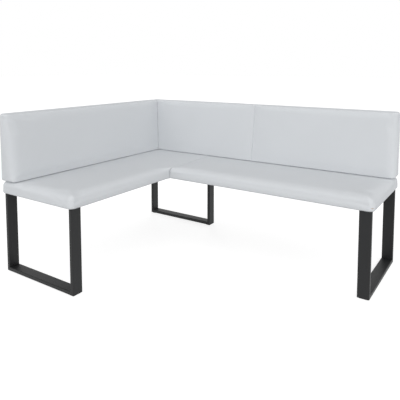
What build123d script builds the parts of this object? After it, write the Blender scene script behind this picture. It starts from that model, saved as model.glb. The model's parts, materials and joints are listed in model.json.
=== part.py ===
from build123d import *
import os
from math import hypot

# Corner bench: an L of two upholstered wings on three sled legs of flat rectangular tube.
# Millimetres, +Z up, origin on the floor under the middle of the bench's box. The rear wing runs
# along X and faces -Y. The left wing runs along Y, faces +X and carries the corner.

# Overall form
bench_width = 1772.0
bench_depth = 1333.0
seat_depth = 566.0
leg_height = 435.0
seat_thickness = 67.0
back_height = 367.0
back_foot = 110.0
back_head = 60.0

# Cushions
cover_thickness = 1.5
seat_plan_radius = 30.0
seat_edge_radius = 24.0
seat_hem_radius = 12.0
seat_crown = 5.0
back_edge_radius = 22.0
back_hem_radius = 8.0
back_crown = 4.0
crown_root = 2.0
hem_width = 30.0
seam_width = 3.0
seam_depth = 0.8
seam_land = 6.0
back_gap = 0.3
least_radius = 1.0

# Boards inside the cushions
board_thickness = 18.0
panel_thickness = 16.0
panel_margin = 25.0
rail_depth = 60.0
rail_height = 40.0

# Legs
tube_width = 60.0
tube_depth = 20.0
tube_wall = 2.0
tube_corner = 3.0
leg_inset = 16.0
left_end_inset = 15.0
right_end_inset = 12.0
corner_inset = 28.0
plate_width = 50.0
plate_thickness = 4.0
glide_thickness = 4.0
glide_length = 30.0
glide_width = 50.0
glide_inset = 4.0
glide_corner = 4.0
glide_bevel = 1.5
peg_diameter = 8.0
peg_clearance = 0.2
peg_height = 8.0

# Fasteners
rod_sides = 8
bolt_diameter = 8.0
bolt_clearance = 1.0
thread_clearance = 0.2
head_across_flats = 13.0
head_height = 5.3
leg_bolt_count = 4
leg_bolt_length = 20.0
tnut_flange_diameter = 22.0
tnut_flange_thickness = 1.5
tnut_barrel_diameter = 10.0
tnut_barrel_length = 14.0
washer_diameter = 24.0
washer_thickness = 2.0
insert_diameter = 12.0
insert_length = 30.0
back_bolt_margin = 200.0
join_length = 120.0
join_width = 40.0
join_thickness = 3.0
join_front_inset = 130.0
join_rear_inset = 210.0
screw_diameter = 4.5
screw_length = 17.0
screw_head_diameter = 8.5
screw_head_height = 2.5
screw_places = (-45.0, -20.0, 20.0, 45.0)

# Places worked out from the sizes above
left_edge = -bench_width / 2
right_edge = bench_width / 2
front_edge = -bench_depth / 2
rear_edge = bench_depth / 2
seat_front_x = left_edge + seat_depth
seat_front_y = rear_edge - seat_depth
plate_top = glide_thickness + leg_height
plate_bottom = plate_top - plate_thickness
seat_bottom = plate_top
seat_top = seat_bottom + seat_thickness
board_bottom = seat_bottom + cover_thickness
board_top = board_bottom + board_thickness
leg_depth = seat_depth - 2 * leg_inset
bolt_hole = bolt_diameter + bolt_clearance
thread_bore = bolt_diameter + thread_clearance
back_lean = (back_foot - back_head) / back_height
rail_rear = cover_thickness + panel_thickness
rail_foot = seat_top + cover_thickness
back_bolt_line = -(rail_rear + rail_depth / 2)
back_bolt_length = washer_thickness + seat_thickness + cover_thickness + insert_length

# Each wing has its own frame: x along the wing, y = 0 on its rear face and negative to the front
left_wing = Pos(left_edge, front_edge, 0) * Rot(0, 0, 90)
rear_wing = Pos(left_edge, rear_edge, 0)

nodes = {}


def block(x0, x1, y0, y1, z0, z1):
    """Plain block between two corners."""
    return Pos((x0 + x1) / 2, (y0 + y1) / 2, (z0 + z1) / 2) * Box(x1 - x0, y1 - y0, z1 - z0)


def rod(x, y, z0, z1, diameter):
    """Upright rod or hole of a fastener, drawn with a few flat sides."""
    return Pos(x, y, z0) * extrude(RegularPolygon(diameter / 2, rod_sides), z1 - z0)


def soften(edges, radius, skin):
    """Round the edges of an outer form, or bevel those of a form that lies inside a cover."""
    return chamfer(edges, radius) if skin else fillet(edges, radius)


def pillow(length, width, rise):
    """Shallow crown on z = 0, rooted below it: an arch along x crossed with an arch along y."""
    def arch(span):
        curve = ThreePointArc((-span / 2, 0), (0, rise), (span / 2, 0))
        root = Polyline((span / 2, 0), (span / 2, -crown_root), (-span / 2, -crown_root), (-span / 2, 0))
        return make_face([curve, root])

    across = extrude(Plane.XZ * arch(length), width / 2, both=True)
    along = extrude(Plane.YZ * arch(width), length / 2, both=True)
    return across & along


def crown_between(x0, x1, y0, y1, z):
    """Seat crown over a rectangle of a flat top at height z."""
    return Pos((x0 + x1) / 2, (y0 + y1) / 2, z) * pillow(x1 - x0, y1 - y0, seat_crown)


# Seats
def seat_slab(skin):
    """The L of both seats as one rounded slab, drawn in by skin on every side."""
    x_inner, y_inner = seat_front_x - skin, seat_front_y + skin
    outline = make_face(Polyline(
        (left_edge + skin, front_edge + skin), (x_inner, front_edge + skin), (x_inner, y_inner),
        (right_edge - skin, y_inner), (right_edge - skin, rear_edge - skin),
        (left_edge + skin, rear_edge - skin), close=True))
    corners = outline.vertices().sort_by_distance((x_inner, y_inner, 0))[1:]
    outline = fillet(corners, seat_plan_radius - skin)
    slab = Pos(0, 0, seat_bottom + skin) * extrude(outline, seat_thickness - 2 * skin)
    edge_radius = min(seat_edge_radius, seat_plan_radius - skin - least_radius)
    slab = soften(slab.faces().sort_by(Axis.Z)[-1].edges(), edge_radius, skin)
    return soften(slab.faces().sort_by(Axis.Z)[0].edges(), seat_hem_radius, skin)


def seat_form(skin, rear):
    """One seat's share of the slab, drawn in by skin, with its crown in front of the backrest."""
    joint = seat_front_x + skin if rear else seat_front_x - skin
    beyond = block(joint, right_edge, seat_front_y, rear_edge, seat_bottom, seat_top)
    slab = seat_slab(skin)
    crown_rear = rear_edge - back_foot
    if rear:
        crown = crown_between(seat_front_x + seat_edge_radius, right_edge - seat_edge_radius,
                              seat_front_y + seat_edge_radius, crown_rear, seat_top - skin)
        return (slab & beyond) + crown
    crown = crown_between(left_edge + back_foot, seat_front_x - seat_edge_radius,
                          front_edge + seat_edge_radius, crown_rear, seat_top - skin)
    return (slab - beyond) + crown


def make_seat(name, rear, holes):
    """Cover with a folded hem, foam, board and dust cover of one seat."""
    outer = seat_form(0, rear)
    inner = seat_form(cover_thickness, rear)
    x0, x1 = (seat_front_x, right_edge) if rear else (left_edge, seat_front_x)
    y0, y1 = (seat_front_y, rear_edge) if rear else (front_edge, rear_edge)
    window = block(x0 + hem_width, x1 - hem_width, y0 + hem_width, y1 - hem_width,
                   seat_bottom, board_bottom)
    board_zone = block(x0, x1, y0, y1, board_bottom, board_top)
    nodes[name + "_cover"] = outer - inner - window - holes
    nodes[name + "_dust_cover"] = window - holes
    nodes[name + "_board"] = (inner & board_zone) - holes
    nodes[name + "_foam"] = inner - board_zone - holes


# Backrests
def front_plane(skin):
    """Leaning front face of a backrest in its wing's frame, drawn in by skin."""
    slope = hypot(1, back_lean)
    normal = (0, -1 / slope, back_lean / slope)
    return Plane(origin=(0, -back_foot + skin * slope, seat_top), x_dir=(1, 0, 0), z_dir=normal)


def wedge(length, fields, skin):
    """Backrest form along its wing, with a crown over each field of its front, drawn in by skin."""
    foot, head = seat_top + skin, seat_top + back_height - skin

    def front(z):
        return -back_foot + back_lean * (z - seat_top) + skin * hypot(1, back_lean)

    profile = make_face(Polyline((-skin, foot), (-skin, head), (front(head), head),
                                 (front(foot), foot), close=True))
    form = Pos(skin, 0, 0) * extrude(Plane.YZ * profile, length - 2 * skin)
    foot_edges = form.faces().sort_by(Axis.Z)[0].edges()
    upper_edges = [edge for edge in form.edges() if edge not in foot_edges]
    form = soften(upper_edges, back_edge_radius, skin)
    form = soften(form.faces().sort_by(Axis.Z)[0].edges(), back_hem_radius, skin)
    face_height = back_height * hypot(1, back_lean)
    low, high = back_hem_radius, face_height - back_edge_radius
    for x0, x1 in fields:
        place = front_plane(skin).location * Pos((x0 + x1) / 2, (low + high) / 2, 0)
        form += place * pillow(x1 - x0, high - low, back_crown)
    return form


def make_back(name, wing, length, fields, bolt_places, end=None, seam=None):
    """Cover with its rear hem, lining, foam, panel and foot rail of one backrest.

    end is the plane where the backrest stops against the other one, facing away from that one.
    """
    outer, inner = wedge(length, fields, 0), wedge(length, fields, cover_thickness)
    stop = length
    if end:
        outer = split(outer, bisect_by=end.offset(back_gap), keep=Keep.TOP)
        inner = split(inner, bisect_by=end.offset(back_gap + cover_thickness), keep=Keep.TOP)
        stop = length - back_foot
    head = seat_top + back_height
    window = block(hem_width, stop - hem_width, -cover_thickness, 0,
                   seat_top + hem_width, head - hem_width)
    panel_zone = block(panel_margin, length - panel_margin, -rail_rear, -cover_thickness,
                       rail_foot, head - panel_margin)
    rail_zone = block(panel_margin, length - panel_margin, -rail_rear - rail_depth, -rail_rear,
                      rail_foot, rail_foot + rail_height)
    cover = outer - inner - window
    cover -= [rod(x, back_bolt_line, seat_top, rail_foot, bolt_hole) for x in bolt_places]
    if seam:
        groove = Box(seam_width, 2 * back_height, 2 * seam_depth)
        cover -= front_plane(0).location * Pos(seam, back_height / 2, 0) * groove
    barrels = [rod(x, back_bolt_line, rail_foot, rail_foot + insert_length, insert_diameter)
               for x in bolt_places]
    nodes[f"{name}_cover"] = wing * cover
    nodes[f"{name}_lining"] = wing * window
    nodes[f"{name}_panel"] = wing * (inner & panel_zone)
    nodes[f"{name}_rail"] = wing * ((inner & rail_zone) - barrels)
    nodes[f"{name}_foam"] = wing * (inner - panel_zone - rail_zone)


# Legs
def tube(length):
    """Rectangular tube standing on z = 0, wide side along x."""
    section = RectangleRounded(tube_width, tube_depth, tube_corner)
    bore = Rectangle(tube_width - 2 * tube_wall, tube_depth - 2 * tube_wall)
    return extrude(section - bore, length)


def make_leg(name, wing, x0):
    """Sled leg across a wing: two posts and a foot bar with mitred corners, plate and glides."""
    middle = x0 + tube_width / 2
    front, rear = -seat_depth + leg_inset, -leg_inset
    bar_top = glide_thickness + tube_depth

    def mitred(piece, points):
        mask = Plane.YZ.offset(middle) * make_face(Polyline(*points, close=True))
        return wing * (piece & extrude(mask, tube_width, both=True))

    post = tube(plate_bottom - glide_thickness)
    for side, edge, inward in (("front", front, 1), ("rear", rear, -1)):
        standing = Pos(middle, edge + inward * tube_depth / 2, glide_thickness) * post
        nodes[f"{name}_{side}_post"] = mitred(standing, [
            (edge, glide_thickness), (edge + inward * tube_depth, bar_top),
            (edge + inward * tube_depth, plate_bottom), (edge, plate_bottom)])
        seat_y = edge + inward * (glide_inset + glide_length / 2)
        pad = block(middle - glide_width / 2, middle + glide_width / 2,
                    seat_y - glide_length / 2, seat_y + glide_length / 2, 0, glide_thickness)
        pad = chamfer(pad.edges().filter_by(Axis.Z), glide_corner)
        pad = chamfer(pad.faces().sort_by(Axis.Z)[0].edges(), glide_bevel)
        peg = rod(middle, seat_y, glide_thickness, glide_thickness + peg_height, peg_diameter)
        nodes[f"{name}_{side}_glide"] = wing * (pad + peg)
    bar = Pos(middle, rear, glide_thickness + tube_depth / 2) * Rot(90, 0, 0) * tube(leg_depth)
    bar -= [rod(middle, edge + inward * (glide_inset + glide_length / 2), glide_thickness,
                glide_thickness + tube_depth / 2, peg_diameter + peg_clearance)
            for edge, inward in ((front, 1), (rear, -1))]
    nodes[f"{name}_foot_bar"] = mitred(bar, [
        (front, glide_thickness), (front + tube_depth, bar_top),
        (rear - tube_depth, bar_top), (rear, glide_thickness)])
    plate = block(middle - plate_width / 2, middle + plate_width / 2, front, rear,
                  plate_bottom, plate_top)
    nodes[f"{name}_plate"] = wing * plate


# Fasteners
def hex_bolt(x, y, z, length):
    """Hexagon bolt pointing up, with the underside of its head on height z."""
    head = Pos(x, y, z - head_height) * extrude(
        RegularPolygon(head_across_flats / 2, 6, major_radius=False), head_height)
    return head + rod(x, y, z, z + length, bolt_diameter)


def tnut(x, y):
    """T-nut pressed down into a seat board from above."""
    body = rod(x, y, board_top, board_top + tnut_flange_thickness, tnut_flange_diameter)
    body += rod(x, y, board_top - tnut_barrel_length, board_top, tnut_barrel_diameter)
    top = board_top + tnut_flange_thickness
    return body - rod(x, y, board_top - tnut_barrel_length, top, thread_bore)


def washer(x, y, z):
    """Wide washer with its upper face on height z."""
    disc = rod(x, y, z - washer_thickness, z, washer_diameter)
    return disc - rod(x, y, z - washer_thickness, z, bolt_hole)


def insert(x, y):
    """Threaded insert in a backrest's foot rail."""
    body = rod(x, y, rail_foot, rail_foot + insert_length, insert_diameter)
    return body - rod(x, y, rail_foot, rail_foot + insert_length, thread_bore)


def screw(x, y):
    """Pan-head screw through a joining plate into a seat board."""
    seat = seat_bottom - join_thickness
    head = rod(x, y, seat - screw_head_height, seat, screw_head_diameter)
    return head + rod(x, y, seat, seat + screw_length, screw_diameter)


def placed(wing, solids):
    """The solids of one node, put from a wing's frame into the bench's."""
    return [wing * solid for solid in solids]


leg_places = {
    "left_leg": (left_wing, left_end_inset),
    "corner_leg": (left_wing, bench_depth - corner_inset - tube_width),
    "right_leg": (rear_wing, bench_width - right_end_inset - tube_width),
}
bolt_pitch = leg_depth / leg_bolt_count
leg_bolt_rows = [-leg_inset - bolt_pitch * (row + 0.5) for row in range(leg_bolt_count)]
left_back_length = bench_depth - back_foot
left_back_bolts = [back_bolt_margin, left_back_length / 2, left_back_length - back_bolt_margin]
corner_back_bolts = [leg_inset + bolt_pitch, leg_inset + bolt_pitch * (leg_bolt_count - 1)]
rear_first, rear_last = seat_depth + back_bolt_margin, bench_width - back_bolt_margin
rear_back_bolts = [rear_first, (rear_first + rear_last) / 2, rear_last]
join_places = {"front_join": seat_front_y + join_front_inset, "rear_join": rear_edge - join_rear_inset}

board_cuts = {"left": [], "rear": []}
for name, (wing, x0) in leg_places.items():
    make_leg(name, wing, x0)
    middle = x0 + tube_width / 2
    bolts = placed(wing, [hex_bolt(middle, y, plate_bottom, leg_bolt_length) for y in leg_bolt_rows])
    nuts = placed(wing, [tnut(middle, y) for y in leg_bolt_rows])
    holes = placed(wing, [rod(middle, y, plate_bottom, board_top, tnut_barrel_diameter)
                          for y in leg_bolt_rows])
    nodes[f"{name}_plate"] -= holes
    nodes[f"{name}_bolts"] = bolts
    nodes[f"{name}_tnuts"] = nuts
    board_cuts["rear" if wing is rear_wing else "left"] += holes + nuts

for name, y in join_places.items():
    screws = [screw(seat_front_x + offset, y) for offset in screw_places]
    plate = block(seat_front_x - join_length / 2, seat_front_x + join_length / 2, y - join_width / 2,
                  y + join_width / 2, seat_bottom - join_thickness, seat_bottom)
    nodes[f"{name}_plate"] = plate - screws
    nodes[f"{name}_screws"] = screws
    board_cuts["left"] += screws
    board_cuts["rear"] += screws

for name, wing, places in (
        ("left_back", left_wing, [(x, seat_bottom) for x in left_back_bolts]),
        ("corner_back", rear_wing, [(x, plate_bottom) for x in corner_back_bolts]),
        ("rear_back", rear_wing, [(x, seat_bottom) for x in rear_back_bolts])):
    y = back_bolt_line
    shafts = placed(wing, [rod(x, y, z, rail_foot, bolt_hole) for x, z in places])
    nodes[f"{name}_bolts"] = placed(
        wing, [hex_bolt(x, y, z - washer_thickness, back_bolt_length) for x, z in places])
    nodes[f"{name}_washers"] = placed(wing, [washer(x, y, z) for x, z in places])
    nodes[f"{name}_inserts"] = placed(wing, [insert(x, y) for x, _ in places])
    board_cuts["rear" if name == "rear_back" else "left"] += shafts
    if name == "corner_back":
        nodes["corner_leg_plate"] -= shafts

make_seat("left_seat", False, board_cuts["left"])
make_seat("rear_seat", True, board_cuts["rear"])

seam_place = bench_width / 2
rear_fields = [(back_foot + back_edge_radius, seam_place - seam_land),
               (seam_place + seam_land, bench_width - back_edge_radius)]
left_fields = [(back_edge_radius, left_back_length - back_edge_radius)]
rear_face = Plane(origin=(left_back_length, 0, seat_top), x_dir=(0, 1, 0), z_dir=(-1, 0, back_lean))
make_back("rear_back", rear_wing, bench_width, rear_fields, corner_back_bolts + rear_back_bolts,
          seam=seam_place)
make_back("left_back", left_wing, bench_depth, left_fields, left_back_bolts, end=rear_face)

os.makedirs("parts", exist_ok=True)
for name, pieces in nodes.items():
    shapes = pieces if isinstance(pieces, list) else [pieces]
    export_step(Compound([solid for shape in shapes for solid in shape.solids()]), f"parts/{name}.step")
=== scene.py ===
"""Looks of the upholstered corner bench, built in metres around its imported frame."""

from __future__ import annotations

import json
import logging
import math
from dataclasses import dataclass
from enum import Enum
from typing import Any, Callable

import bpy
import numpy as np
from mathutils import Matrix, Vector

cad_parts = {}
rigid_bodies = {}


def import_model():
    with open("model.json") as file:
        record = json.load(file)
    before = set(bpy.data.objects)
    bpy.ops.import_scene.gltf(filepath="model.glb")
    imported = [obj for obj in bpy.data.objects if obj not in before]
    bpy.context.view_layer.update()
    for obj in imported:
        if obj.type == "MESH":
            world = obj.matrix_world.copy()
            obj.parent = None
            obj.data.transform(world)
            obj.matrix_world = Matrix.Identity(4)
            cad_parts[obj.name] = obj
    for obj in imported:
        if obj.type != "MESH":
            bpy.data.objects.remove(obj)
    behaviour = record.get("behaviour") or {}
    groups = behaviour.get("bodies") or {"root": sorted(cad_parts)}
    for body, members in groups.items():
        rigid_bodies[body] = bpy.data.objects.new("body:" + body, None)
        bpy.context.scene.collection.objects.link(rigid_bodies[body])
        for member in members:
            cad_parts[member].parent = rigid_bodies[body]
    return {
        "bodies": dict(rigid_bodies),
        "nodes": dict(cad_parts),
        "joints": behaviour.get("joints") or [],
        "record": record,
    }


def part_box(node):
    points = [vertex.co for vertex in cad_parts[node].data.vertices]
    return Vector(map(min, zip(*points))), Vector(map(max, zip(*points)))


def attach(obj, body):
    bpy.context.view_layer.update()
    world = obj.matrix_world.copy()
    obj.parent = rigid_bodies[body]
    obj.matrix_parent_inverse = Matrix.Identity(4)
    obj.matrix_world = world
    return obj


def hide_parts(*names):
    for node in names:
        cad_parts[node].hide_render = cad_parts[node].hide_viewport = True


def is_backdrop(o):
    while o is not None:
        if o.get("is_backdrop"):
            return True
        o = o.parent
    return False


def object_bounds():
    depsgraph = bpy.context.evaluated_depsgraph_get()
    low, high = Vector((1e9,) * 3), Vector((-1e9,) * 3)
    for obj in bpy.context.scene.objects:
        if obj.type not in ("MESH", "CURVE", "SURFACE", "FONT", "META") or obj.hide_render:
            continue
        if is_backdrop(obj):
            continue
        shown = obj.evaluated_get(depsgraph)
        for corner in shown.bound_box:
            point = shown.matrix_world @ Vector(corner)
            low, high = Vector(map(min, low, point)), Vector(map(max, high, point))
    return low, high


LOG = logging.getLogger("corner_bench")
ROOT = "root"
MM = 0.001
TINY = 1e-9
Array = np.ndarray
Pair = tuple[float, float]
Mesh = tuple[Array, tuple[Array, ...]]
Colour = tuple[float, float, float]
Point = tuple[float, float, float]
Piece = bpy.types.Object
Node = bpy.types.Node
Socket = bpy.types.NodeSocket
Tree = bpy.types.NodeTree
Look = tuple[Socket, Socket, Socket]


# Node graphs

class Graph:
    """Adds nodes to a node tree and links them."""

    def __init__(self, tree: Tree) -> None:
        """Start from an empty tree."""
        self.tree = tree
        tree.nodes.clear()

    def add(self, kind: str, inputs: dict[Any, Any] | None = None, **settings: Any) -> Node:
        """Add one node.

        Args:
            kind: Blender's name of the node type.
            inputs: socket name or number to a value, or to the output socket that feeds it.
            settings: properties of the node itself.
        Returns:
            The new node.
        """
        node = self.tree.nodes.new(kind)
        for key, value in settings.items():
            setattr(node, key, value)
        self.feed(node, inputs or {})
        return node

    def feed(self, node: Node, inputs: dict[Any, Any]) -> None:
        """Set inputs of a node.

        Args:
            node: the node.
            inputs: socket name or number to a value, or to the output socket that feeds it.
        """
        for key, value in inputs.items():
            if isinstance(value, Socket):
                self.tree.links.new(value, node.inputs[key])
            else:
                node.inputs[key].default_value = value

    def math(self, operation: str, first: Any, second: Any = 0.0) -> Socket:
        """Result of one Math node, from two values or sockets."""
        return self.add("ShaderNodeMath", {0: first, 1: second}, operation=operation).outputs[0]

    def vector(self, operation: str, first: Any, second: Any) -> Socket:
        """Result of one Vector Math node, from two vectors or sockets."""
        return self.add("ShaderNodeVectorMath", {0: first, 1: second}, operation=operation).outputs[0]

    def remap(self, value: Any, start: float, end: float, low: float, high: float) -> Socket:
        """Smooth step of a value, from low at start to high at end, held beyond them."""
        return self.add("ShaderNodeMapRange", {0: value, 1: start, 2: end, 3: low, 4: high},
                        interpolation_type="SMOOTHSTEP").outputs[0]

    def blend(self, factor: Any, first: Any, second: Any, mode: str = "MIX") -> Socket:
        """Mix of two colours, where the factor is the second one's share."""
        return self.add("ShaderNodeMix", {0: factor, 6: first, 7: second}, data_type="RGBA",
                        blend_type=mode).outputs[2]

    def noise(self, vector: Any, scale: Any, detail: float = 2.0) -> Socket:
        """Value of a noise texture, by its features per metre and its octaves."""
        return self.add("ShaderNodeTexNoise",
                        {"Vector": vector, "Scale": scale, "Detail": detail}).outputs[0]


def rgba(colour: Colour) -> tuple[float, float, float, float]:
    """The colour as an opaque RGBA value."""
    return (*colour, 1.0)


class Effect(Enum):
    """Shared surface effects, each one a node group that is built once."""

    PEBBLE = "pebble_grain"
    DRIFT = "tone_drift"
    FLECK = "surface_fleck"
    TIMBER = "timber_grain"

    def tree(self) -> Tree:
        """The effect's node group."""
        made = bpy.data.node_groups.get(self.value)
        if made is None:
            made = bpy.data.node_groups.new(self.value, "ShaderNodeTree")
            EFFECT_WIRING[self](made)
        return made

    def place(self, graph: Graph, inputs: dict[str, Any]) -> Node:
        """Put the effect into a material, with values and sockets for its inputs."""
        return graph.add("ShaderNodeGroup", inputs, node_tree=self.tree())


def group_ends(tree: Tree, values: dict[str, float],
               results: tuple[str, ...]) -> tuple[Graph, Node, Node]:
    """Give a node group its sockets.

    Args:
        tree: the empty group.
        values: names and defaults of the float inputs, after the Vector input.
        results: names of the float outputs.
    Returns:
        The group's graph, its input node and its output node.
    """
    def socket(name: str, way: str, kind: str) -> Any:
        """A new socket of the group."""
        return tree.interface.new_socket(name, in_out=way, socket_type=kind)

    socket("Vector", "INPUT", "NodeSocketVector")
    for name, value in values.items():
        socket(name, "INPUT", "NodeSocketFloat").default_value = value
    for name in results:
        socket(name, "OUTPUT", "NodeSocketFloat")
    graph = Graph(tree)
    return graph, graph.add("NodeGroupInput"), graph.add("NodeGroupOutput")


def wire_pebble(tree: Tree) -> None:
    """Pebbled skin: uneven cells with fine creases between them, in two sizes."""
    graph, start, end = group_ends(tree, {"Cells": 700.0, "Unevenness": 0.5}, ("Height", "Crease"))
    vector, cells = start.outputs["Vector"], start.outputs["Cells"]
    bend = graph.add("ShaderNodeTexNoise", {"Vector": vector, "Scale": 240.0, "Detail": 1.0})
    place = graph.vector("ADD", vector, graph.vector("MULTIPLY", bend.outputs["Color"], (0.0008,) * 3))
    fine = graph.add("ShaderNodeTexVoronoi", {"Vector": place, "Scale": cells},
                     feature="DISTANCE_TO_EDGE").outputs["Distance"]
    broad = graph.add("ShaderNodeTexVoronoi",
                      {"Vector": place, "Scale": graph.math("MULTIPLY", cells, 0.31)},
                      feature="SMOOTH_F1").outputs["Distance"]
    swell = graph.math("MULTIPLY", broad, start.outputs["Unevenness"])
    graph.feed(end, {"Height": graph.math("SUBTRACT", graph.remap(fine, 0.0, 0.32, 0.0, 1.0), swell),
                     "Crease": graph.remap(fine, 0.02, 0.16, 1.0, 0.0)})


def wire_drift(tree: Tree) -> None:
    """Slow change of tone: broad noise about 1, as a factor for a colour."""
    graph, start, end = group_ends(tree, {"Scale": 4.0, "Amount": 0.03}, ("Factor",))
    cloud = graph.noise(start.outputs["Vector"], start.outputs["Scale"], 3.0)
    swing = graph.math("MULTIPLY", graph.math("SUBTRACT", cloud, 0.5), start.outputs["Amount"])
    graph.feed(end, {"Factor": graph.math("ADD", swing, 1.0)})


def wire_fleck(tree: Tree) -> None:
    """Fine skin of a coating or moulding: soft orange peel with small pits."""
    graph, start, end = group_ends(tree, {"Peel": 420.0, "Pits": 1600.0}, ("Height", "Fleck"))
    peel = graph.noise(start.outputs["Vector"], start.outputs["Peel"], 1.0)
    pits = graph.noise(start.outputs["Vector"], start.outputs["Pits"])
    graph.feed(end, {"Height": graph.math("ADD", peel, graph.math("MULTIPLY", pits, 0.35)),
                     "Fleck": graph.remap(pits, 0.52, 0.7, 0.0, 1.0)})


def wire_timber(tree: Tree) -> None:
    """Wood grain: rings bent by noise that is stretched along X, with fine pores."""
    graph, start, end = group_ends(tree, {"Rings": 60.0, "Stretch": 0.06}, ("Grain", "Pores"))
    squeeze = graph.add("ShaderNodeCombineXYZ", {0: start.outputs["Stretch"], 1: 1.0, 2: 1.0})
    place = graph.vector("MULTIPLY", start.outputs["Vector"], squeeze.outputs[0])
    wave = graph.add("ShaderNodeTexWave", {"Vector": place, "Scale": start.outputs["Rings"],
                                           "Distortion": 5.0, "Detail": 2.0, "Detail Scale": 0.6},
                     bands_direction="DIAGONAL")
    graph.feed(end, {"Grain": wave.outputs["Fac"],
                     "Pores": graph.remap(graph.noise(place, 900.0), 0.5, 0.66, 0.0, 1.0)})


EFFECT_WIRING: dict[Effect, Callable[[Tree], None]] = {
    Effect.PEBBLE: wire_pebble,
    Effect.DRIFT: wire_drift,
    Effect.FLECK: wire_fleck,
    Effect.TIMBER: wire_timber,
}


# Finishes

@dataclass(frozen=True)
class Finish:
    """A surface finish: its name, its colour and its plain shader values."""

    name: str
    colour: Colour
    roughness: float = 0.5
    metallic: float = 0.0
    specular: float = 0.5
    bump: float = 0.2
    bump_depth: float = 0.1 * MM

    def material(self) -> bpy.types.Material:
        """The finish's material, made on first use: its pattern on a Principled shader."""
        made = bpy.data.materials.get(self.name)
        if made is None:
            made = bpy.data.materials.new(self.name)
            made.use_nodes = True
            made.diffuse_color = rgba(self.colour)
            graph = Graph(made.node_tree)
            shader = graph.add("ShaderNodeBsdfPrincipled", {
                "Base Color": rgba(self.colour), "Roughness": self.roughness,
                "Metallic": self.metallic, "Specular IOR Level": self.specular})
            output = graph.add("ShaderNodeOutputMaterial", {"Surface": shader.outputs[0]})
            output.is_active_output = True
            tone, rough, height = self.pattern(graph, graph.add("ShaderNodeTexCoord").outputs["Object"])
            relief = graph.add("ShaderNodeBump", {"Height": height, "Strength": self.bump,
                                                  "Distance": self.bump_depth})
            graph.feed(shader, {"Base Color": tone, "Roughness": rough, "Normal": relief.outputs[0]})
        return made

    def pattern(self, graph: Graph, place: Socket) -> Look:
        """The finish's own pattern.

        Args:
            graph: the material's graph.
            place: Object coordinates.
        Returns:
            Sockets of the colour, the roughness and the bump's height.
        """
        raise NotImplementedError

    def tinted(self, share: float) -> tuple[float, float, float, float]:
        """The finish's colour times a share, as an opaque RGBA value."""
        return rgba(tuple(channel * share for channel in self.colour))

    def rougher(self, graph: Graph, factor: Any, gain: float) -> Socket:
        """The finish's roughness, with a gain where the factor is 1."""
        return graph.remap(factor, 0.0, 1.0, self.roughness, self.roughness + gain)

    def drifted(self, graph: Graph, place: Any, colour: Any, scale: float, amount: float) -> Socket:
        """The colour times a slow drift of tone, by its clouds per metre and its swing."""
        drift = Effect.DRIFT.place(graph, {"Vector": place, "Scale": scale, "Amount": amount})
        return graph.blend(1.0, colour, drift.outputs["Factor"], "MULTIPLY")


@dataclass(frozen=True)
class Leatherette(Finish):
    """Smooth coated upholstery cloth with a fine pebble."""

    cells: float = 720.0
    # share of the colour in the pebble's creases, as painted shade
    painted_crease_shade: float = 0.9

    def pattern(self, graph: Graph, place: Socket) -> Look:
        """Pebble in the bump, painted shade (a darker tone) and more roughness in its creases, a slow
        drift of tone.
        """
        grain = Effect.PEBBLE.place(graph, {"Vector": place, "Cells": self.cells, "Unevenness": 0.5})
        crease = grain.outputs["Crease"]
        # painted shade: the creases of the pebble are darkened in tone
        tone = graph.blend(crease, self.tinted(1.0), self.tinted(self.painted_crease_shade))
        return (self.drifted(graph, place, tone, 3.5, 0.05), self.rougher(graph, crease, 0.12),
                grain.outputs["Height"])


@dataclass(frozen=True)
class Coating(Finish):
    """Powder coating on steel, or the fine skin of moulded plastic."""

    peel: float = 520.0
    pits: float = 1900.0
    fleck_tone: float = 1.5
    fleck_gain: float = 0.1
    clouds: float = 7.0
    swing: float = 0.16

    def pattern(self, graph: Graph, place: Socket) -> Look:
        """Orange peel in the bump, small flecks in tone and roughness, a slow drift of tone."""
        skin = Effect.FLECK.place(graph, {"Vector": place, "Peel": self.peel, "Pits": self.pits})
        fleck = skin.outputs["Fleck"]
        tone = graph.blend(fleck, self.tinted(1.0), self.tinted(self.fleck_tone))
        return (self.drifted(graph, place, tone, self.clouds, self.swing),
                self.rougher(graph, fleck, self.fleck_gain), skin.outputs["Height"])


@dataclass(frozen=True)
class ZincPlate(Finish):
    """Bright zinc plating with a faint spangle."""

    def pattern(self, graph: Graph, place: Socket) -> Look:
        """Crystal cells of slightly different tone, fine brushing in the bump."""
        cells = graph.add("ShaderNodeTexVoronoi", {"Vector": place, "Scale": 260.0})
        spangle = graph.add("ShaderNodeSeparateColor", {0: cells.outputs["Color"]}).outputs[0]
        skin = Effect.FLECK.place(graph, {"Vector": place, "Peel": 900.0, "Pits": 3000.0})
        return (graph.blend(spangle, self.tinted(0.86), self.tinted(1.0)),
                self.rougher(graph, spangle, 0.14), skin.outputs["Height"])


@dataclass(frozen=True)
class Timber(Finish):
    """Planed wood, or plywood where the layers have a thickness."""

    rings: float = 60.0
    layer: float = 0.0
    pore_roughness: float = 0.85

    def pattern(self, graph: Graph, place: Socket) -> Look:
        """Grain and pores, and on plywood bands of the layers by height."""
        wood = Effect.TIMBER.place(graph, {"Vector": place, "Rings": self.rings, "Stretch": 0.06})
        grain, pores = wood.outputs["Grain"], wood.outputs["Pores"]
        tone = graph.blend(grain, self.tinted(0.72), self.tinted(1.0))
        tone = graph.blend(pores, tone, self.tinted(0.6))
        if self.layer:
            height = graph.add("ShaderNodeSeparateXYZ", {0: place}).outputs[2]
            ply = graph.math("PINGPONG", height, self.layer)
            band = graph.remap(ply, 0.35 * self.layer, 0.65 * self.layer, 0.0, 0.5)
            tone = graph.blend(band, tone, self.tinted(0.55))
        return tone, graph.remap(pores, 0.0, 1.0, self.roughness, self.pore_roughness), grain


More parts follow.
